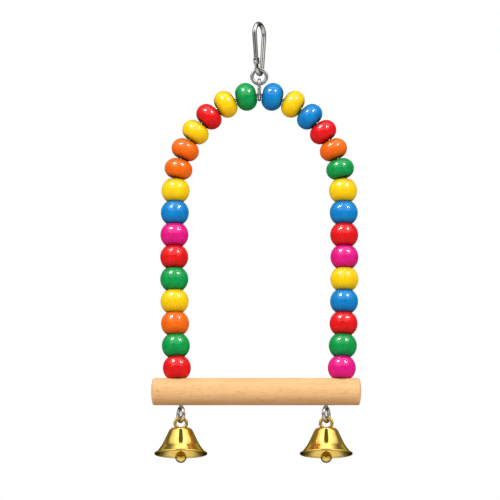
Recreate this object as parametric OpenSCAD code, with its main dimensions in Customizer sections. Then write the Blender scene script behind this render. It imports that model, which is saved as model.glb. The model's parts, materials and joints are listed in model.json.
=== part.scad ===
// A small hanging perch for a cage bird: a wooden dowel on a beaded wire arch,
// with a snap clip above and two brass bells below. Millimetres, +Z up.
// The origin is where the cage bar bears on the inside of the clip's top bend.

/* [Snap clip] */
// Diameter of the clip's wire
clip_wire = 2.2; // [1.8:0.1:2.3]
// Outer width of the clip at its wide top bend
clip_w = 12.4; // [10:0.1:13]
// Outer width of the clip at its narrow bottom bend
clip_foot_w = 7.7; // [7.6:0.1:8.5]
// Overall height of the clip
clip_h = 26.4; // [22:0.1:32]
// Turn of the clip's plane away from the arch's plane, in degrees
clip_turn = 244; // [230:1:270]
// Length of the straight nose past the top bend
nose_len = 4; // [3:0.1:5]
// Length of the lap where the gate lies inside the nose
lap_len = 3; // [2:0.1:3]
// Diameter of the gate's bar
gate_d = 2.1; // [1.7:0.1:2.3]
// Thickness of the tongue that carries the gate
tongue_t = 0.9; // [0.7:0.1:1]
// Diameter of the gate's rivet
rivet_d = 0.8; // [0.6:0.1:0.9]
// Height of the rivet above the end of the bottom bend
rivet_rise = 3; // [2.4:0.1:3.6]

/* [Ring and link] */
// Diameter of the ring's wire
ring_wire = 1.7; // [1.4:0.1:1.8]
// Outer diameter of the ring
ring_d = 8.6; // [8.2:0.1:10]
// Clearance between the ring and the clip's bottom bend
ring_gap = 0.2; // [0.15:0.05:0.4]
// Diameter of the link's wire
link_wire = 1.7; // [1.4:0.1:1.8]
// Outer width of the link
link_w = 6.4; // [6.2:0.1:7]
// Outer length of the link
link_len = 11.1; // [11:0.1:14]

/* [Arch wire] */
// Diameter of the arch's wire
arch_wire_d = 2; // [1.6:0.1:2.2]
// Radius of the arch at its crown
crown_r = 33; // [30:0.5:38]
// Half angle of the crown's curve, in degrees
crown_deg = 39.4; // [36:0.2:42]
// Radius of the arch at its shoulders
shoulder_r = 52; // [48:0.5:58]
// Angle of each shoulder's curve, in degrees
shoulder_deg = 48.6; // [45:0.2:50]
// Radius of the slight bow of each leg
leg_bow_r = 1000; // [800:10:1400]
// Length of wire held in the perch below each bead seat
wire_hold = 5; // [3.5:0.1:5.4]

/* [Beads] */
// Diameter of every bead
bead_d = 13.4; // [12:0.1:14]
// Diameter of the flat face at each end of a bead in the columns
bead_face_d = 7.8; // [5.6:0.1:8.4]
// Diameter of the flat face of the rounder beads at the crown and on the bends
bend_face_d = 5.4; // [5.2:0.1:6.4]
// Length of a bead in the straight columns
bead_len = 10.6; // [9.8:0.05:10.9]
// Length of the two beads at the crown
crown_bead_len = 9.8; // [9:0.1:10.4]
// Length of the shorter beads where the wire bends
bend_bead_len = 9.3; // [8.4:0.1:9.6]
// Diameter of the hole through each bead
bead_bore = 3.5; // [3.2:0.1:4]
// Width of the chamfer at each bead's hole
bore_chamfer = 0.3; // [0.2:0.05:0.5]
// Clear space between the two beads at the crown
crown_gap = 2.8; // [2.8:0.1:4]
// Play between neighbouring beads
bead_play = 0.05; // [0.03:0.01:0.1]

/* [Perch] */
// Length of the perch
perch_len = 100; // [96:1:120]
// Diameter of the perch
perch_d = 13; // [12:0.1:15]
// Radius of the perch's end edges
perch_edge_r = 1.4; // [0.8:0.1:2]
// Bulge of the perch's sawn ends
perch_crown = 0.5; // [0.2:0.1:0.8]
// Sideways shift of the perch from the arch's middle line
perch_shift = -1.5; // [-2:0.1:2]
// Depth of the flat seat under each bottom bead
seat_depth = 0.4; // [0.2:0.1:1]

/* [Screw eyes] */
// Diameter of a screw eye's wire
eye_wire = 1.8; // [1.4:0.1:1.9]
// Outer diameter of a screw eye
eye_d = 8.4; // [7.8:0.1:8.8]
// Length of neck between the perch and the eye
eye_neck = 0.3; // [0.2:0.1:2.5]
// Length of the screw in the perch
eye_screw = 5.5; // [4:0.1:5.6]
// Opening between the eye's end and its neck, in degrees
eye_open_deg = 24; // [20:1:30]
// Turn of each screw eye away from edge-on, in degrees
eye_turn = 22; // [0:1:22]
// Distance of the left screw eye from the arch's middle line
eye_left_x = 37.3; // [30:0.1:38]
// Distance of the right screw eye from the arch's middle line
eye_right_x = 31.8; // [30:0.1:38]

/* [Bells] */
// Diameter of a bell's mouth
bell_d = 25.2; // [24:0.1:27]
// Height of a bell from its crown to its mouth
bell_h = 12.7; // [11:0.1:14]
// Thickness of a bell's wall
bell_wall = 0.8; // [0.6:0.05:1]
// Thickness of the rolled rim at a bell's mouth
rim_d = 1; // [0.9:0.1:1.3]
// Diameter of the yoke's wire
yoke_wire = 1.6; // [1.4:0.1:1.6]
// Outer width of the yoke's round upper loop
yoke_w = 7; // [6.9:0.1:7.2]
// Outer width of the yoke's lower loop
yoke_foot_w = 5.7; // [5.6:0.1:6.2]
// Radius of the bends at the yoke's waist
yoke_waist_r = 1; // [0.9:0.1:1.1]
// Height of the yoke's wire axis above the bell's crown
yoke_rise = 5; // [4.9:0.1:5.6]

/* [Clappers] */
// Diameter of a clapper's ball
ball_d = 5.5; // [4.5:0.1:6]
// Depth of the ball's centre below the bell's crown
ball_drop = 14; // [13:0.1:15.5]
// Diameter of a clapper's wire
stem_wire = 1; // [0.8:0.1:1.1]
// Outer diameter of the clapper's eye
stem_eye_d = 4.2; // [4:0.1:4.6]

/* [Hidden] */
SIDES = ["left", "right"];
COUNT = 15;
function bead_name(side, i) = str("bead_", side, "_", i < 9 ? "0" : "", i + 1);
BEADS = [for (side = SIDES, i = [0 : COUNT - 1]) bead_name(side, i)];

// Clearance between two pieces that hang on or turn in each other
run_gap = 0.05;
// Clearance round a wire that is held in a hole
fit_gap = 0.02;
// Overrun of the cuts
over = 1;
// Where two stretches of one wire meet, the inner one is thinner by a hair and runs on into the other
hair = 0.02;
splice = 0.1;
// Degrees in a radian
DEG_PER_RADIAN = 180 / PI;
// Sides of a circle that OpenSCAD draws
wire_fn = 32;
round_fn = 72;

nickel = "#c9cbcd";
brass = "#d0a437";
beech = "#e9c48d";
magenta = "#e6168a";
red = "#e01f28";
orange = "#f2641e";
yellow = "#fbd70c";
green = "#1fa152";
blue = "#0b86cc";
LEFT_COLOURS = [green, yellow, red, yellow, orange, orange, yellow, blue,
  magenta, red, green, yellow, orange, green, red];
RIGHT_COLOURS = [blue, yellow, blue, red, orange, green, yellow, blue,
  red, magenta, yellow, blue, red, green, magenta];

// Clip: two bends joined by two straight legs that draw together downwards
top_bend_r = (clip_w - clip_wire) / 2;
foot_bend_r = (clip_foot_w - clip_wire) / 2;
bend_gap = clip_h - clip_wire - top_bend_r - foot_bend_r;
leg_slant = asin((top_bend_r - foot_bend_r) / bend_gap);
leg_len = bend_gap * cos(leg_slant);
top_bend_z = clip_wire / 2 - top_bend_r;
foot_z = top_bend_z - bend_gap - foot_bend_r;
rivet_along = leg_len - rivet_rise;
fork_gap = tongue_t + 2 * run_gap;
rivet_head_d = 1.9 * rivet_d;
rivet_head_t = 0.35 * rivet_d;
boss_d = 1.15 * gate_d;
gate_len = rivet_along - nose_len + lap_len - run_gap;

// Ring and link
ring_r = (ring_d - ring_wire) / 2;
ring_top_z = foot_z + (clip_wire + ring_wire) / 2 + ring_gap;
ring_z = ring_top_z - ring_r;
link_bend_r = (link_w - link_wire) / 2;
link_top_z = ring_z - ring_r + (ring_wire + link_wire) / 2 + run_gap;
link_foot_z = link_top_z - (link_len - link_wire);

// Arch: a crown arc, a wider arc at each shoulder and a very wide one down each leg
crown_z = link_foot_z + (link_wire + arch_wire_d) / 2 + run_gap;
crown_run = crown_r * crown_deg / DEG_PER_RADIAN;
shoulder_run = shoulder_r * shoulder_deg / DEG_PER_RADIAN;
bend_deg = crown_deg + shoulder_deg;
crown_c = [0, crown_z - crown_r];
shoulder_c = crown_c + (crown_r - shoulder_r) * [sin(crown_deg), cos(crown_deg)];
leg_c = shoulder_c + (shoulder_r - leg_bow_r) * [sin(bend_deg), cos(bend_deg)];

// The wire's slope, bend radius and place at a distance along it from the crown
function lean(s) = s < crown_run ? s / crown_r * DEG_PER_RADIAN
  : s < crown_run + shoulder_run ? crown_deg + (s - crown_run) / shoulder_r * DEG_PER_RADIAN
  : bend_deg + (s - crown_run - shoulder_run) / leg_bow_r * DEG_PER_RADIAN;
function bend_r(s) = s < crown_run ? crown_r : s < crown_run + shoulder_run ? shoulder_r : leg_bow_r;
function bend_c(s) = s < crown_run ? crown_c : s < crown_run + shoulder_run ? shoulder_c : leg_c;
function spot(s) = bend_c(s) + bend_r(s) * [sin(lean(s)), cos(lean(s))];

// Beads: each lies against the one before it
BEND_COUNT = 5;
function len_of(i) = i == 0 ? crown_bead_len : i <= BEND_COUNT ? bend_bead_len : bead_len;
function face_r(i) = (i <= BEND_COUNT ? bend_face_d : bead_face_d) / 2;
function face_drop(i) = bead_d / 2 - face_r(i);
function round_of(i) = (pow(face_drop(i), 2) + pow(len_of(i) / 2, 2)) / (2 * face_drop(i));
function body_step(i) = (len_of(i) + len_of(i + 1)) / 2;
function turn(s, run) = (lean(s + run) - lean(s)) / DEG_PER_RADIAN;
function touch_r(i) = min(face_r(i), face_r(i + 1));
function step(i, s) = body_step(i) + bead_play
  + touch_r(i) * turn(s, body_step(i) * (1 + touch_r(i) / bend_r(s)));
function bead_s(i) = i == 0 ? (crown_gap + len_of(0)) / 2
  : let (before = bead_s(i - 1)) before + step(i - 1, before);

// Perch
seat_s = bead_s(COUNT - 1) + len_of(COUNT - 1) / 2 + bead_play;
seat_r = 1.2 * face_r(COUNT - 1);
perch_z = spot(seat_s)[1] - perch_d / 2 + seat_depth;
perch_foot_z = perch_z - perch_d / 2;

// Screw eyes
eye_r = (eye_d - eye_wire) / 2;
eye_z = perch_foot_z - eye_neck - eye_d / 2;
eye_foot_z = eye_z - eye_r;

// Bells, and yokes: a round loop above and one below, with bends between that draw the strands together
yoke_r = (yoke_w - yoke_wire) / 2;
yoke_foot_r = (yoke_foot_w - yoke_wire) / 2;
yoke_top_z = eye_foot_z + (eye_wire + yoke_wire) / 2 + run_gap;
bell_z = yoke_top_z - yoke_rise;
loop_z = yoke_top_z - yoke_r;
waist_x = yoke_wire / 2 + run_gap + yoke_waist_r;
waist_z = loop_z - sqrt(pow(yoke_r + yoke_waist_r, 2) - pow(waist_x, 2));
foot_loop_z = waist_z - sqrt(pow(yoke_foot_r + yoke_waist_r, 2) - pow(waist_x, 2));
yoke_foot_z = foot_loop_z - yoke_foot_r;
loop_deg = acos(waist_x / (yoke_r + yoke_waist_r));
foot_loop_deg = acos(waist_x / (yoke_foot_r + yoke_waist_r));
slot_r = yoke_wire / 2 + fit_gap;
slot_x = sqrt(pow(yoke_r + yoke_wire / 2, 2) - pow(loop_z - bell_z, 2)) + fit_gap - slot_r;
ball_z = bell_z - ball_drop;
stem_eye_r = (stem_eye_d - stem_wire) / 2;
stem_eye_z = yoke_foot_z + (yoke_wire + stem_wire) / 2 + run_gap - stem_eye_r;
stem_hold = 0.3 * ball_d;

// The bell's outer outline down to the middle of its rim: shares of the radius and height there, crown first
BELL_SHARES = [[0.29, 0], [0.385, 0.02], [0.46, 0.095], [0.54, 0.26], [0.62, 0.425], [0.69, 0.57],
  [0.77, 0.71], [0.855, 0.82], [0.945, 0.935], [1, 1]];
outline_steps = 3;
rim_r = (bell_d - rim_d) / 2;
rim_drop = bell_h - rim_d / 2;

function side_sign(side) = side == "left" ? -1 : 1;
function eye_x(side) = side == "left" ? -eye_left_x : eye_right_x;

// A smooth curve through points, with a few steps between each pair
function blend(a, b, c, d, t) = 0.5 * (2 * b + (c - a) * t + (2 * a - 5 * b + 4 * c - d) * t * t
  + (3 * b - a - 3 * c + d) * t * t * t);
function smooth_points(p, n) = concat(
  [for (i = [0 : len(p) - 2], k = [0 : n - 1])
    blend(p[max(i - 1, 0)], p[i], p[i + 1], p[min(i + 2, len(p) - 1)], k / n)],
  [p[len(p) - 1]]);

// Points of an outline moved inwards by a wall
function unit(v) = v / norm(v);
function along(p, i) = unit(p[min(i + 1, len(p) - 1)] - p[max(i - 1, 0)]);
function inner_points(p, wall) = [for (i = [0 : len(p) - 1])
  let (d = i == 0 ? [1, 0] : along(p, i))
    i < len(p) - 1 ? p[i] + wall * [d[1], -d[0]] : p[i] + wall * [1 / d[1], 0]];

function arc_points(c, r, a0, a1, n) = [for (k = [0 : n])
  let (a = a0 + (a1 - a0) * k / n) c + r * [cos(a), sin(a)]];

// A round wire bent to an arc in the XZ plane, from angle a0 over a sweep
module wire_arc(c, r, d, a0, sweep) {
  translate([c[0], 0, c[1]])
    rotate([90, 0, 0])
      rotate([0, 0, a0])
        rotate_extrude(angle = sweep, $fn = round_fn * 2)
          translate([r, 0])
            circle(d = d, $fn = wire_fn);
}

// A round bar between two places in the XZ plane
module wire_bar(p, q, d) {
  v = q - p;
  translate([p[0], 0, p[1]])
    rotate([0, atan2(v[0], v[1]), 0])
      cylinder(h = norm(v), d = d, $fn = wire_fn);
}

// An arc or a bar that is spliced into the wire at both its ends
module spliced_arc(c, r, d, a0, sweep) {
  extra = splice / r * DEG_PER_RADIAN;
  wire_arc(c, r, d - hair, a0 - extra, sweep + 2 * extra);
}

module spliced_bar(p, q, d) {
  extra = splice * unit(q - p);
  wire_bar(p - extra, q + extra, d - hair);
}

// A closed oval of wire in the XZ plane: two half rings and two straight sides
module wire_oval(top_z, foot_z, r, d) {
  wire_arc([0, top_z - r], r, d, 0, 180);
  wire_arc([0, foot_z + r], r, d, 180, 180);
  for (side = [-1, 1])
    spliced_bar([side * r, foot_z + r], [side * r, top_z - r], d);
}

// Places a shape in the clip's own plane
module clip_plane() {
  rotate([0, 0, clip_turn])
    children();
}

// Places a shape on the gate's leg: its Z runs down the leg from the end of the top bend
module gate_leg() {
  clip_plane()
    translate([0, 0, top_bend_z])
      rotate([0, 180 + leg_slant, 0])
        translate([-top_bend_r, 0, 0])
          children();
}

// Bent wire with a lapped nose above and a flat tongue below
module clip_body() {
  color(nickel)
    difference() {
      union() {
        clip_plane() {
          wire_arc([0, top_bend_z], top_bend_r, clip_wire, -leg_slant, 180 + 2 * leg_slant);
          wire_arc([0, top_bend_z - bend_gap], foot_bend_r, clip_wire, 180 + leg_slant, 180 - 2 * leg_slant);
          spliced_bar(
            [0, top_bend_z] + top_bend_r * [-cos(leg_slant), -sin(leg_slant)],
            [0, top_bend_z - bend_gap] + foot_bend_r * [-cos(leg_slant), -sin(leg_slant)], clip_wire);
        }
        gate_leg() {
          translate([0, 0, -splice])
            cylinder(h = nose_len + splice, d = clip_wire - hair, $fn = wire_fn);
          tongue();
        }
      }
      gate_leg()
        translate([-run_gap / 2, -clip_wire, nose_len - lap_len])
          cube([clip_wire, 2 * clip_wire, lap_len + over]);
    }
}

// The flattened end of the wire, with the rivet's hole
module tongue() {
  difference() {
    union() {
      translate([0, tongue_t / 2, rivet_along])
        rotate([90, 0, 0])
          cylinder(h = tongue_t, d = boss_d, $fn = round_fn);
      translate([-boss_d / 2, -tongue_t / 2, rivet_along])
        cube([boss_d, tongue_t, leg_len + splice - rivet_along]);
    }
    translate([0, tongue_t, rivet_along])
      rotate([90, 0, 0])
        cylinder(h = 2 * tongue_t, d = rivet_d + 2 * fit_gap, $fn = wire_fn);
  }
}

// Round bar with a lapped tip at the nose and a fork over the tongue
module clip_gate() {
  color(nickel)
    gate_leg()
      difference() {
        union() {
          translate([0, 0, rivet_along - gate_len])
            cylinder(h = gate_len - boss_d / 2, d = gate_d, $fn = wire_fn);
          translate([0, gate_d / 2, rivet_along])
            rotate([90, 0, 0])
              cylinder(h = gate_d, d = boss_d, $fn = round_fn);
          translate([-boss_d / 2, -gate_d / 2, rivet_along - 0.8 * boss_d])
            cube([boss_d, gate_d, 0.8 * boss_d]);
        }
        translate([run_gap / 2 - clip_wire, -clip_wire, rivet_along - gate_len - over])
          cube([clip_wire, 2 * clip_wire, over + lap_len + run_gap]);
        translate([-boss_d, -fork_gap / 2, rivet_along - boss_d / 2 - 2 * run_gap])
          cube([2 * boss_d, fork_gap, boss_d + over]);
        translate([0, gate_d, rivet_along])
          rotate([90, 0, 0])
            cylinder(h = 2 * gate_d, d = rivet_d + 2 * run_gap, $fn = wire_fn);
      }
}

// Rivet through the fork and the tongue
module clip_rivet() {
  span = gate_d + 2 * run_gap;
  color(nickel)
    gate_leg()
      translate([0, 0, rivet_along])
        rotate([90, 0, 0]) {
          translate([0, 0, -span / 2])
            cylinder(h = span, d = rivet_d, $fn = wire_fn);
          for (side = [0, 1])
            mirror([0, 0, side])
              translate([0, 0, span / 2])
                cylinder(h = rivet_head_t, d = rivet_head_d, $fn = wire_fn);
        }
}

module hanging_ring() {
  color(nickel)
    wire_arc([0, ring_z], ring_r, ring_wire, 0, 360);
}

module top_link() {
  color(nickel)
    rotate([0, 0, 90])
      wire_oval(link_top_z, link_foot_z, link_bend_r, link_wire);
}

// One stiff wire from hole to hole of the perch
module arch_wire() {
  seat = spot(seat_s);
  way = [cos(lean(seat_s)), -sin(lean(seat_s))];
  color(nickel) {
    wire_arc(crown_c, crown_r, arch_wire_d, 90 - crown_deg, 2 * crown_deg);
    for (side = [0, 1])
      mirror([side, 0, 0]) {
        spliced_arc(shoulder_c, shoulder_r, arch_wire_d, 90 - bend_deg, shoulder_deg);
        wire_arc(leg_c, leg_bow_r, arch_wire_d, 90 - lean(seat_s), lean(seat_s) - bend_deg);
        wire_bar(seat - splice * way, seat + wire_hold * way, arch_wire_d - hair);
      }
  }
}

// Half of a bead's section: one round, cut by the two faces, beside a chamfered hole
module bead_profile(r, reach) {
  mouth_r = bead_bore / 2;
  intersection() {
    translate([bead_d / 2 - r, 0])
      circle(r = r, $fn = round_fn);
    polygon([[mouth_r, bore_chamfer - reach], [mouth_r + bore_chamfer, -reach], [bead_d, -reach],
      [bead_d, reach], [mouth_r + bore_chamfer, reach], [mouth_r, reach - bore_chamfer]]);
  }
}

// A turned ball with flat faces, at its place on the wire
module bead(side, i) {
  s = bead_s(i);
  place = spot(s);
  colour = side == "left" ? LEFT_COLOURS[i] : RIGHT_COLOURS[i];
  color(colour)
    translate([side_sign(side) * place[0], 0, place[1]])
      rotate([0, side_sign(side) * (90 + lean(s)), 0])
        rotate_extrude($fn = round_fn)
          bead_profile(round_of(i), len_of(i) / 2);
}

// Turned dowel with rounded ends, bead seats, wire holes and screw holes
module perch() {
  r = perch_d / 2;
  half = perch_len / 2;
  rim = half - perch_crown;
  end = concat([[0, half], [0.45 * r, half - 0.25 * perch_crown]],
    arc_points([r - perch_edge_r, rim - perch_edge_r], perch_edge_r, 80, 0, 5));
  seat = spot(seat_s);
  color(beech)
    difference() {
      translate([perch_shift, 0, perch_z])
        rotate([0, 90, 0])
          rotate_extrude($fn = round_fn)
            polygon(concat(end, [for (i = [len(end) - 1 : -1 : 0]) [end[i][0], -end[i][1]]]));
      for (side = [0, 1])
        mirror([side, 0, 0])
          translate([seat[0], 0, seat[1]])
            rotate([0, lean(seat_s) - 90, 0]) {
              cylinder(h = perch_d, r = seat_r, $fn = round_fn);
              translate([0, 0, -wire_hold - fit_gap])
                cylinder(h = wire_hold + over, d = arch_wire_d + 2 * fit_gap, $fn = wire_fn);
            }
      for (side = SIDES)
        translate([eye_x(side), 0, perch_foot_z - over])
          cylinder(h = over + eye_screw + fit_gap, d = eye_wire + 2 * fit_gap, $fn = wire_fn);
    }
}

// A wire eye whose neck goes up into the perch as a screw
module screw_eye(side) {
  color(nickel)
    translate([eye_x(side), 0, 0])
      rotate([0, 0, 90 - side_sign(side) * eye_turn]) {
        wire_arc([0, eye_z], eye_r, eye_wire, 90 + eye_open_deg, 360 - eye_open_deg);
        translate([0, 0, eye_z + eye_r])
          cylinder(h = eye_wire / 2 + eye_neck + eye_screw, d = eye_wire, $fn = wire_fn);
      }
}

// Flared shell with a flat crown, a rolled rim and a slot for the yoke
module bell(side) {
  outer = smooth_points([for (p = BELL_SHARES) [p[0] * rim_r, -p[1] * rim_drop]], outline_steps);
  inner = [for (p = inner_points(outer, bell_wall)) if (p[1] >= -rim_drop) p];
  wall = concat([[0, 0]], outer, [for (i = [len(inner) - 1 : -1 : 0]) inner[i]], [[0, -bell_wall]]);
  color(brass)
    translate([eye_x(side), 0, bell_z])
      difference() {
        union() {
          rotate_extrude($fn = round_fn)
            polygon(wall);
          translate([0, 0, -rim_drop])
            rotate_extrude($fn = round_fn)
              translate([rim_r, 0])
                circle(d = rim_d, $fn = wire_fn);
        }
        translate([0, 0, -bell_wall - over]) {
          translate([-slot_x, -slot_r, 0])
            cube([2 * slot_x, 2 * slot_r, bell_wall + 2 * over]);
          for (end = [-1, 1])
            translate([end * slot_x, 0, 0])
              cylinder(h = bell_wall + 2 * over, r = slot_r, $fn = wire_fn);
        }
      }
}

// Closed wire through the crown: the screw eye holds its upper loop, the clapper hangs in its lower one
module yoke(side) {
  color(brass)
    translate([eye_x(side), 0, 0]) {
      wire_arc([0, loop_z], yoke_r, yoke_wire, -loop_deg, 180 + 2 * loop_deg);
      wire_arc([0, foot_loop_z], yoke_foot_r, yoke_wire, 180 - foot_loop_deg, 180 + 2 * foot_loop_deg);
      for (strand = [0, 1])
        mirror([strand, 0, 0])
          spliced_arc([waist_x, waist_z], yoke_waist_r, yoke_wire, 180 - loop_deg, loop_deg + foot_loop_deg);
    }
}

// Wire eye round the yoke's lower bend, with a stem down to the ball
module clapper_stem(side) {
  color(brass)
    translate([eye_x(side), 0, 0])
      rotate([0, 0, 90]) {
        wire_arc([0, stem_eye_z], stem_eye_r, stem_wire, 0, 360);
        wire_bar([0, ball_z + ball_d / 2 - stem_hold], [0, stem_eye_z - stem_eye_r], stem_wire);
      }
}

module clapper_ball(side) {
  color(brass)
    translate([eye_x(side), 0, ball_z])
      difference() {
        sphere(d = ball_d, $fn = round_fn);
        translate([0, 0, ball_d / 2 - stem_hold - fit_gap])
          cylinder(h = ball_d, d = stem_wire + 2 * fit_gap, $fn = wire_fn);
      }
}

clip_body();
clip_gate();
clip_rivet();
hanging_ring();
top_link();
arch_wire();
perch();
for (side = SIDES) {
  screw_eye(side);
  bell(side);
  yoke(side);
  clapper_stem(side);
  clapper_ball(side);
}
for (side = SIDES, i = [0 : COUNT - 1])
  bead(side, i);
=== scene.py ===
# Looks of the bird swing: finely turned beads, materials, studio and camera.
# Metres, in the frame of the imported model.
import json
import math

import bmesh
import bpy
from mathutils import Matrix, Vector


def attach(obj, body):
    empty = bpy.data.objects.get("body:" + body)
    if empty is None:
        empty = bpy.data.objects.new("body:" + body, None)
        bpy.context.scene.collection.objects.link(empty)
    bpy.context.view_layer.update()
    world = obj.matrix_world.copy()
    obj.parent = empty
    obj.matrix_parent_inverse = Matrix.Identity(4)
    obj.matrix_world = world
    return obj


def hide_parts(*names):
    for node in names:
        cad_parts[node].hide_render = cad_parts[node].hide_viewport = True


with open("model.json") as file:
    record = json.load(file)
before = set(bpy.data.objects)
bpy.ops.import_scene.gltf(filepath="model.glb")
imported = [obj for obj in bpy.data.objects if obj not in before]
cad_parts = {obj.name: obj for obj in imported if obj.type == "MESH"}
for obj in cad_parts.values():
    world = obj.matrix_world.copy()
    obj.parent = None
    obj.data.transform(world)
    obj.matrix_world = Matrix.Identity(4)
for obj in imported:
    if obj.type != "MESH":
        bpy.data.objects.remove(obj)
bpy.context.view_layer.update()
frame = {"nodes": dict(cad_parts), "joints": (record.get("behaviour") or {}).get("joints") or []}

scene = bpy.context.scene
UP = Vector((0, 0, 1))
MM = 0.001

# Sizes of the beads, for their wood and their turning
BEAD_D = 13.4 * MM
BORE_RADIUS = 1.75 * MM
FACE_RADIUS = 3.9 * MM
BEND_FACE_RADIUS = 2.7 * MM
BEND_BEADS = range(1, 7)
EDGE_ROUND = 0.55 * MM
MOUTH_ROUND = 0.3 * MM


def colour(red, green, blue):
    """A screen colour, 0 to 255, as the linear colour that a shader takes."""
    def linear(v):
        v /= 255
        return v / 12.92 if v <= 0.04045 else ((v + 0.055) / 1.055) ** 2.4
    return tuple(linear(v) for v in (red, green, blue)) + (1.0,)


# Shader helpers

def add(tree, kind, inputs=None, **settings):
    """A shader node with its settings, and with values or sockets on its inputs."""
    node = tree.nodes.new("ShaderNode" + kind)
    for key, value in settings.items():
        setattr(node, key, value)
    for key, value in (inputs or {}).items():
        if isinstance(value, bpy.types.NodeSocket):
            tree.links.new(value, node.inputs[key])
        else:
            node.inputs[key].default_value = value
    return node


def ramp(tree, factor, stops):
    """A colour ramp through stops of place and colour."""
    node = add(tree, "ValToRGB", {"Fac": factor})
    elements = node.color_ramp.elements
    while len(elements) < len(stops):
        elements.new(0.5)
    for element, (place, value) in zip(elements, stops):
        element.position = place
        element.color = value if hasattr(value, "__len__") else (value, value, value, 1)
    return node.outputs["Color"]


def stretched(tree, scale, seed=None):
    """Object coordinates, scaled along each axis, moved by a socket so that equal pieces differ."""
    place = add(tree, "TexCoord").outputs["Object"]
    node = add(tree, "Mapping", {"Vector": place, "Scale": scale})
    if seed is not None:
        tree.links.new(seed, node.inputs["Location"])
    return node.outputs["Vector"]


def noise(tree, vector, scale, detail, roughness, distortion=0.0):
    """Cloudy values from 0 to 1, mostly near the middle."""
    node = add(tree, "TexNoise", {"Vector": vector, "Scale": scale, "Detail": detail,
                                  "Roughness": roughness, "Distortion": distortion})
    return node.outputs["Fac"]


def mixed(tree, factor, a, b, mode="MIX"):
    """A colour between two, each a colour or a socket."""
    node = add(tree, "Mix", data_type="RGBA", blend_type=mode)
    for key, value in (("Factor_Float", factor), ("A_Color", a), ("B_Color", b)):
        socket = next(s for s in node.inputs if s.identifier == key)
        if isinstance(value, bpy.types.NodeSocket):
            tree.links.new(value, socket)
        else:
            socket.default_value = value
    return next(s for s in node.outputs if s.identifier == "Result_Color")


def maths(tree, operation, a, b=0.0, c=0.0):
    """One sum, of numbers or sockets."""
    return add(tree, "Math", {0: a, 1: b, 2: c}, operation=operation).outputs[0]


def bumped(tree, shader, height, strength, distance):
    """Gives a shader a slight relief."""
    bump = add(tree, "Bump", {"Height": height, "Strength": strength, "Distance": distance})
    tree.links.new(bump.outputs["Normal"], shader.inputs["Normal"])


def ray_of(tree, kind):
    """1 for the rays of one kind."""
    return add(tree, "LightPath").outputs["Is %s Ray" % kind]


def blank_tree(owner):
    """The emptied shader tree of a material or world."""
    owner.use_nodes = True
    owner.node_tree.nodes.clear()
    return owner.node_tree


def material(name, **values):
    """A material with one Principled shader."""
    mat = bpy.data.materials.new(name)
    tree = blank_tree(mat)
    out = add(tree, "OutputMaterial")
    shader = add(tree, "BsdfPrincipled", values)
    tree.links.new(shader.outputs["BSDF"], out.inputs["Surface"])
    return mat, tree, shader


# Materials

BARE_RIM = 0.08 * MM
RAW_WOOD = colour(196, 150, 104)
# Painted shade, multiplied into the bead colour near the faces where the beads touch
FACE_PAINTED_SHADE = (0.32, 0.32, 0.32, 1)


def lacquered_wood(name, tone, deep):
    """Dyed and lacquered wood: the dye takes unevenly and ends at the bore, and painted shade darkens it
    near the faces, where neighbouring beads shade each other.
    """
    mat, tree, shader = material(name, **{
        "Roughness": 0.5, "Specular IOR Level": 0.02,
        "Coat Weight": 0.7, "Coat Roughness": 0.08, "Coat IOR": 1.3})
    seed = add(tree, "Attribute", attribute_name="seed").outputs["Vector"]
    cloud = noise(tree, stretched(tree, (1, 1, 0.6), seed), 330, 3.0, 0.6)
    grain = noise(tree, stretched(tree, (1, 1, 0.12), seed), 1500, 3.0, 0.6)
    uneven = maths(tree, "ADD", maths(tree, "MULTIPLY", cloud, 0.75), maths(tree, "MULTIPLY", grain, 0.3))
    bead_colour = mixed(tree, ramp(tree, uneven, [(0.36, 0.0), (0.68, 1.0)]), deep, tone)
    local = add(tree, "TexCoord").outputs["Object"]
    across = add(tree, "VectorMath", {0: local, 1: (1, 1, 0)}, operation="MULTIPLY").outputs["Vector"]
    radius = add(tree, "VectorMath", {0: across}, operation="LENGTH").outputs["Value"]
    in_centimetres = maths(tree, "MULTIPLY", radius, 0.1 / MM)
    # Painted shade: the colour darkens towards the flat faces, standing in for the shadow that neighbouring
    # beads cast on each other
    painted_face_shade = ramp(tree, in_centimetres, [(0.39, 1.0), (0.45, 0.4), (0.6, 0.0)])
    bead_colour = mixed(tree, painted_face_shade, bead_colour, FACE_PAINTED_SHADE, "MULTIPLY")
    bare = maths(tree, "LESS_THAN", radius, BORE_RADIUS + BARE_RIM)
    tree.links.new(mixed(tree, bare, bead_colour, RAW_WOOD), shader.inputs["Base Color"])
    bumped(tree, shader, uneven, 0.12, 0.15 * MM)
    return mat


def bare_beech(name):
    """Sanded beech with its grain along X: soft streaks, short dark flecks and fine pores."""
    mat, tree, shader = material(name, **{"Roughness": 0.62, "Specular IOR Level": 0.35})
    bands = noise(tree, stretched(tree, (0.09, 1, 1)), 520, 4.0, 0.6, 0.4)
    broad = noise(tree, stretched(tree, (0.3, 1, 1)), 95, 2.0, 0.5)
    fleck = noise(tree, stretched(tree, (0.2, 1, 1)), 1500, 2.0, 0.5)
    pores = noise(tree, stretched(tree, (0.12, 1, 1)), 3600, 2.0, 0.5)
    streaks = ramp(tree, bands, [(0.3, 0.0), (0.7, 1.0)])
    base = mixed(tree, streaks, colour(236, 184, 122), colour(253, 210, 152))
    base = mixed(tree, ramp(tree, broad, [(0.35, 0.0), (0.7, 0.55)]), base, colour(242, 190, 130))
    base = mixed(tree, ramp(tree, fleck, [(0.60, 0.0), (0.72, 0.55)]), base, colour(196, 140, 88))
    base = mixed(tree, ramp(tree, pores, [(0.56, 0.0), (0.72, 0.4)]), base, colour(206, 154, 102))
    tree.links.new(base, shader.inputs["Base Color"])
    height = maths(tree, "SUBTRACT", bands, maths(tree, "MULTIPLY", pores, 0.7))
    bumped(tree, shader, height, 0.35, 0.12 * MM)
    return mat


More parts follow.
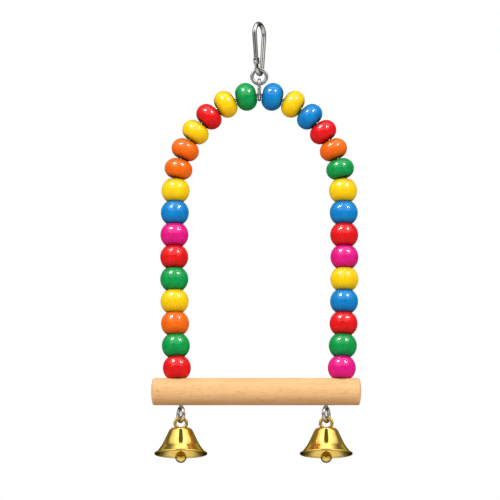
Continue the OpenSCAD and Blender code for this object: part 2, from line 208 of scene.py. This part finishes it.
def plated(name, tone, stain, edge):
    """Bright metal: faint stains, uneven polish, and slight waves from drawing or spinning."""
    mat, tree, shader = material(name, **{"Metallic": 1.0, "Specular Tint": edge})
    slow = noise(tree, stretched(tree, (1, 1, 1)), 260, 3.0, 0.6)
    fine = noise(tree, stretched(tree, (1, 1, 1)), 1900, 3.0, 0.6)
    stains = ramp(tree, slow, [(0.42, 0.0), (0.75, 1.0)])
    tree.links.new(mixed(tree, stains, tone, stain), shader.inputs["Base Color"])
    polish = maths(tree, "ADD", maths(tree, "MULTIPLY", fine, 0.09), 0.05)
    tree.links.new(polish, shader.inputs["Roughness"])
    bumped(tree, shader, maths(tree, "ADD", slow, maths(tree, "MULTIPLY", fine, 0.15)), 0.15, 0.1 * MM)
    return mat


# The full dye and the deeper tone of its streaks
DYES = {
    "bead_magenta": ((236, 20, 144), (220, 8, 120)),
    "bead_red": ((242, 20, 24), (216, 8, 12)),
    "bead_orange": ((252, 122, 4), (242, 92, 0)),
    "bead_yellow": ((255, 222, 0), (254, 198, 0)),
    "bead_green": ((0, 170, 80), (0, 142, 66)),
    "bead_blue": ((0, 144, 216), (0, 118, 198)),
}
MATERIALS = {slot: lacquered_wood(slot, colour(*tone), colour(*deep)) for slot, (tone, deep) in DYES.items()}
MATERIALS["beech"] = bare_beech("beech")
MATERIALS["nickel"] = plated("nickel", colour(214, 212, 208), colour(190, 187, 182), (0.3, 0.3, 0.3, 1))
MATERIALS["brass"] = plated("brass", colour(240, 208, 112), colour(226, 184, 80), (0.4, 0.3, 0.16, 1))
SLOT_OF = {node: obj.data.materials[0].name for node, obj in frame["nodes"].items()}


def dress(obj, slot):
    """Gives an object the material of a slot."""
    if not obj.material_slots:
        obj.data.materials.append(None)
    obj.material_slots[0].material = MATERIALS[slot]


# Meshes

def lathe(name, outline, sides):
    """A mesh turned about Z from a closed outline of points of radius and height, all off the axis."""
    mesh = bpy.data.meshes.new(name)
    bm = bmesh.new()
    angles = [2 * math.pi * k / sides for k in range(sides)]
    rings = [[bm.verts.new((r * math.cos(a), r * math.sin(a), z)) for a in angles] for r, z in outline]
    for low, high in zip(rings, rings[1:] + rings[:1]):
        for k in range(sides):
            after = (k + 1) % sides
            bm.faces.new([low[k], low[after], high[after], high[k]])
    bmesh.ops.recalc_face_normals(bm, faces=bm.faces)
    for face in bm.faces:
        face.smooth = True
    bm.to_mesh(mesh)
    bm.free()
    return mesh


def arc(cx, cz, r, start, end, steps):
    """Points on an arc, with the angles in degrees."""
    return [(cx + r * math.cos(a), cz + r * math.sin(a))
            for a in (math.radians(start + (end - start) * k / steps) for k in range(steps + 1))]


def placed(name, mesh, place, axis=UP):
    """A new object at a place, with its Z along an axis."""
    obj = bpy.data.objects.new(name, mesh)
    scene.collection.objects.link(obj)
    turn = UP.rotation_difference(Vector(axis)).to_matrix().to_4x4()
    obj.matrix_world = Matrix.Translation(place) @ turn
    return obj


# Beads

BEAD_SIDES = 72
SIDE_STEPS = 26
FACE_STEPS = 3
EDGE_STEPS = 6
MOUTH_STEPS = 4


def bead_outline(half, face_radius):
    """One round from face to face, with eased edges and a drilled hole."""
    drop = BEAD_D / 2 - face_radius
    round_r = (drop ** 2 + half ** 2) / (2 * drop)
    centre = BEAD_D / 2 - round_r
    reach = round_r - EDGE_ROUND
    edge_z = half - EDGE_ROUND
    edge_r = centre + math.sqrt(reach ** 2 - edge_z ** 2)
    tilt = math.degrees(math.asin(edge_z / reach))
    mouth = BORE_RADIUS + MOUTH_ROUND
    face = [(edge_r + (mouth - edge_r) * k / FACE_STEPS, half) for k in range(1, FACE_STEPS)]
    top = (arc(edge_r, edge_z, EDGE_ROUND, tilt, 90, EDGE_STEPS) + face
           + arc(mouth, half - MOUTH_ROUND, MOUTH_ROUND, 90, 180, MOUTH_STEPS))
    side = arc(centre, 0, round_r, -tilt, tilt, SIDE_STEPS)
    return [(r, -z) for r, z in reversed(top)] + side[1:-1] + top


def seeded(mesh, index):
    """Gives a mesh its own place in the grain."""
    attribute = mesh.attributes.new("seed", "FLOAT_VECTOR", "POINT")
    shift = (3.7 * index, 1.3 * index * index % 17, 2.9 * index)
    attribute.data.foreach_set("vector", list(shift) * len(mesh.vertices))


lacquered = bpy.data.collections.new("lacquered")
joint_of = {j["child"]: j for j in frame["joints"]}
for index, node in enumerate(sorted(n for n in frame["nodes"] if n.startswith("bead_"))):
    joint = joint_of[node]
    axis = Vector(joint["axis"]).normalized()
    place = Vector(joint["pos_m"])
    half = max((v.co - place).dot(axis) for v in frame["nodes"][node].data.vertices)
    face_radius = BEND_FACE_RADIUS if int(node[-2:]) in BEND_BEADS else FACE_RADIUS
    mesh = lathe("turned_" + node, bead_outline(half, face_radius), BEAD_SIDES)
    seeded(mesh, index)
    bead = placed("turned_" + node, mesh, place, axis)
    lacquered.objects.link(bead)
    dress(bead, SLOT_OF[node])
    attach(bead, node)
    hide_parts(node)

# Every CAD node gets the material of its slot
for node, obj in frame["nodes"].items():
    dress(obj, SLOT_OF[node])

# Floor, far below, so that the camera can look up at the bells

FLOOR_Z = -9
FLOOR_HALF = 24
PAPER_GREY = (0.8, 0.8, 0.8, 1)
GLOW_GREY = (0.45, 0.45, 0.45, 1)

bm = bmesh.new()
bmesh.ops.create_grid(bm, x_segments=1, y_segments=1, size=FLOOR_HALF)
floor_mesh = bpy.data.meshes.new("floor")
bm.to_mesh(floor_mesh)
bm.free()
floor = placed("floor", floor_mesh, Vector((0, 0, FLOOR_Z)))
floor.visible_diffuse = floor.visible_glossy = floor.visible_transmission = False

floor_mat = bpy.data.materials.new("pale_floor")
tree = blank_tree(floor_mat)
paper = add(tree, "BsdfDiffuse", {"Color": PAPER_GREY})
glow = add(tree, "Emission", {"Color": GLOW_GREY, "Strength": ray_of(tree, "Camera")})
surface = add(tree, "AddShader", {0: paper.outputs[0], 1: glow.outputs[0]})
tree.links.new(surface.outputs[0], add(tree, "OutputMaterial").inputs["Surface"])
floor.data.materials.append(floor_mat)

# Tent round the object: white for the camera, a soft fill for diffuse rays, and for mirror rays
# the pale and dark cards that give bright metal its streaks

world = bpy.data.worlds.new("studio")
scene.world = world
tree = blank_tree(world)
axes = add(tree, "SeparateXYZ", {0: add(tree, "TexCoord").outputs["Generated"]}).outputs
height = maths(tree, "MULTIPLY_ADD", axes["Z"], 0.5, 0.5)
turn = maths(tree, "ARCTAN2", axes["X"], maths(tree, "MULTIPLY", axes["Y"], -1.0))
round_about = maths(tree, "DIVIDE", maths(tree, "ABSOLUTE", turn), math.pi)
# The diffuse fill, by height from 0 below to 1 above
fill = ramp(tree, height, [
    (0.0, (0.40, 0.33, 0.31, 1)), (0.25, (0.50, 0.41, 0.38, 1)), (0.4, (0.82, 0.75, 0.73, 1)),
    (0.52, 1.03), (0.75, 0.86), (1.0, 0.54)])
# Mirrored light in layers by height
layers = ramp(tree, height, [
    (0.0, 0.95), (0.3, 0.75), (0.42, 0.55), (0.5, 0.62), (0.57, 0.75),
    (0.64, 1.1), (0.7, 1.9), (0.85, 3.2), (1.0, 2.4)])
# The cards, by angle from 0 in front to 1 behind, with plainer ones low down
high_cards = ramp(tree, round_about, [
    (0.115, 0.05), (0.155, 1.0), (0.28, 0.75), (0.42, 0.42), (0.53, 0.3),
    (0.62, 0.07), (0.72, 0.07), (0.79, 0.22), (0.88, 0.18), (0.97, 0.04)])
low_cards = ramp(tree, round_about, [(0.5, 1.0), (0.7, 0.2), (1.0, 0.1)])
cards = mixed(tree, ramp(tree, height, [(0.35, 0.0), (0.47, 1.0)]), low_cards, high_cards)
# Straight above and below, the cards fade out
weight = ramp(tree, height, [(0.0, 0.0), (0.06, 1.0), (0.97, 1.0), (1.0, 0.3)])
tent = mixed(tree, weight, layers, mixed(tree, 1.0, layers, cards, "MULTIPLY"))
seen = mixed(tree, ray_of(tree, "Glossy"), fill, tent)
seen = mixed(tree, ray_of(tree, "Camera"), seen, (1, 1, 1, 1))
background = add(tree, "Background", {"Color": seen, "Strength": 1.0})
tree.links.new(background.outputs[0], add(tree, "OutputWorld").inputs["Surface"])

# Camera and lamps

PICTURE_PIXELS = 500
PIXELS_PER_METRE = 2100.0
FRAME_WIDTH = PICTURE_PIXELS / PIXELS_PER_METRE
MIDDLE = Vector((-4.43 * MM, 0, -108.25 * MM))
ELEVATION = math.radians(-9.5)
LENS, SENSOR = 1200.0, 36.0
CLIP_START, CLIP_END = 0.01, 30
LAMP_DISTANCE = 1.4


def softbox(name, direction, width, height, radiance, mirror=False):
    """A rectangular lamp that faces the object's middle, for shading, or as gloss on the beads."""
    light = bpy.data.lights.new(name, "AREA")
    light.shape = "RECTANGLE"
    light.size, light.size_y = width, height
    light.energy = radiance * width * height * math.pi
    lamp = bpy.data.objects.new(name, light)
    scene.collection.objects.link(lamp)
    way = Vector(direction).normalized()
    lamp.location = MIDDLE + way * LAMP_DISTANCE
    lamp.rotation_mode = "QUATERNION"
    lamp.rotation_quaternion = way.to_track_quat("Z", "Y")
    lamp.visible_camera = False
    lamp.visible_diffuse, lamp.visible_glossy = not mirror, mirror
    if mirror:
        lamp.light_linking.receiver_collection = lacquered


softbox("key_left", (-0.40, -0.72, 0.57), 0.62, 0.42, 7.9)
softbox("key_right", (0.46, -0.74, 0.50), 0.52, 0.38, 7.3)
softbox("glint_left", (-0.42, -0.50, 0.76), 0.50, 0.46, 73.0, mirror=True)
softbox("glint_right", (0.48, -0.58, 0.66), 0.44, 0.44, 64.0, mirror=True)
softbox("sheen", (0, -0.649, 0.760), 3.2, 2.4, 3.1, mirror=True)

camera = bpy.data.objects.new("camera", bpy.data.cameras.new("camera"))
scene.collection.objects.link(camera)
camera.data.lens, camera.data.sensor_width = LENS, SENSOR
back = Vector((0, -math.cos(ELEVATION), math.sin(ELEVATION)))
camera.location = MIDDLE + back * (FRAME_WIDTH * LENS / SENSOR)
camera.rotation_mode = "QUATERNION"
camera.rotation_quaternion = (-back).to_track_quat("-Z", "Y")
camera.data.clip_start, camera.data.clip_end = CLIP_START, CLIP_END
scene.camera = camera
scene.view_settings.view_transform = "Standard"
